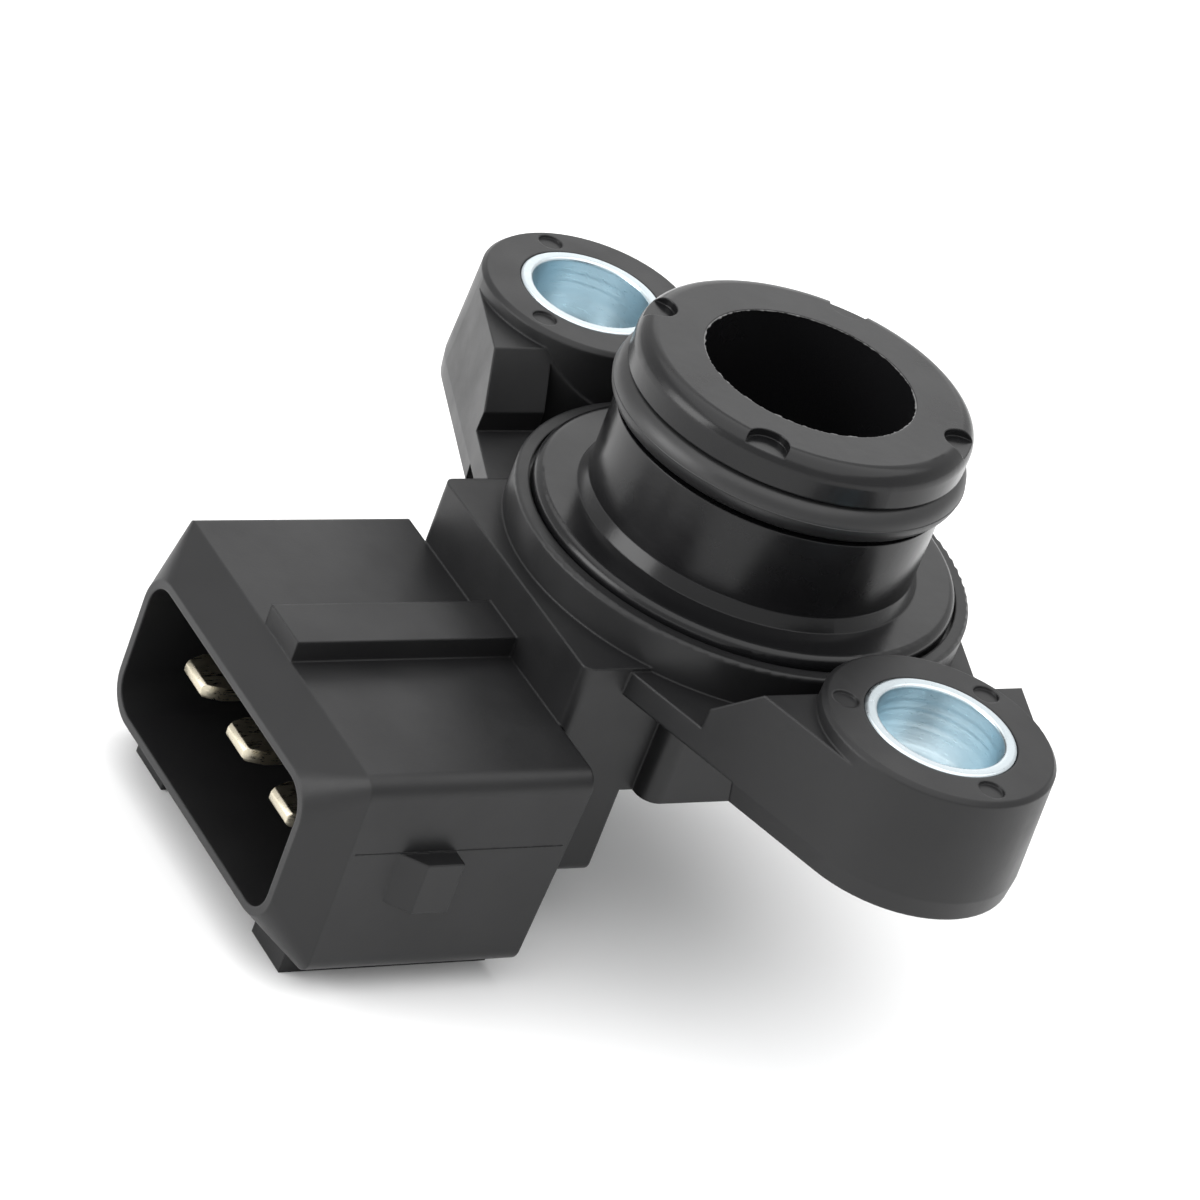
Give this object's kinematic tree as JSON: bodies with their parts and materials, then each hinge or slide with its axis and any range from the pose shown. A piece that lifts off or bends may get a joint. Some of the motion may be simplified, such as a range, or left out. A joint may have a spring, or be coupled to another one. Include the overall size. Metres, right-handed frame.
{
  "type": "manifold absolute pressure sensor",
  "caption": "Black moulded pressure sensor with a round sealed port, bolt ears with steel bushings and a keyed plug with flat terminals, for an engine's intake manifold.",
  "frame": {"origin": "on the port's axis, level with the tops of the two mounting ears", "axes": "+Z along the port towards its mouth, +X through the bolt holes to the ear on the plug's key side, -Y out of the plug"},
  "size_m": [0.0486, 0.0392, 0.0281],
  "materials": {
    "housing_plastic": "satin black moulded, glass filled",
    "port_plastic": "smooth black moulded",
    "adhesive": "cured black adhesive",
    "seal_rubber": "smooth black rubber",
    "bushing_steel": "turned and zinc plated",
    "terminal_metal": "tin plated strip with bare cut edges",
    "package_plastic": "moulded",
    "lead_metal": "tin plated",
    "support_glass": "ground",
    "silicon": "polished grey",
    "wire_metal": "drawn",
    "gel": "clear soft gel",
    "capacitor_ceramic": "fired ceramic"
  },
  "bodies": {
    "root": {"housing": "housing_plastic", "pressure_port": "port_plastic", "port_bond": "adhesive", "package_bond": "adhesive", "o_ring": "seal_rubber", "bushing_near": "bushing_steel", "bushing_far": "bushing_steel", "terminal_1": "terminal_metal", "terminal_2": "terminal_metal", "terminal_3": "terminal_metal", "sensor_package": "package_plastic", "lead_1": "lead_metal", "lead_2": "lead_metal", "lead_3": "lead_metal", "glass_base": "support_glass", "sensing_die": "silicon", "signal_chip": "silicon", "bond_wires": "wire_metal", "protective_gel": "gel", "capacitor_1": "capacitor_ceramic", "capacitor_2": "capacitor_ceramic"}
  },
  "joints": []
}
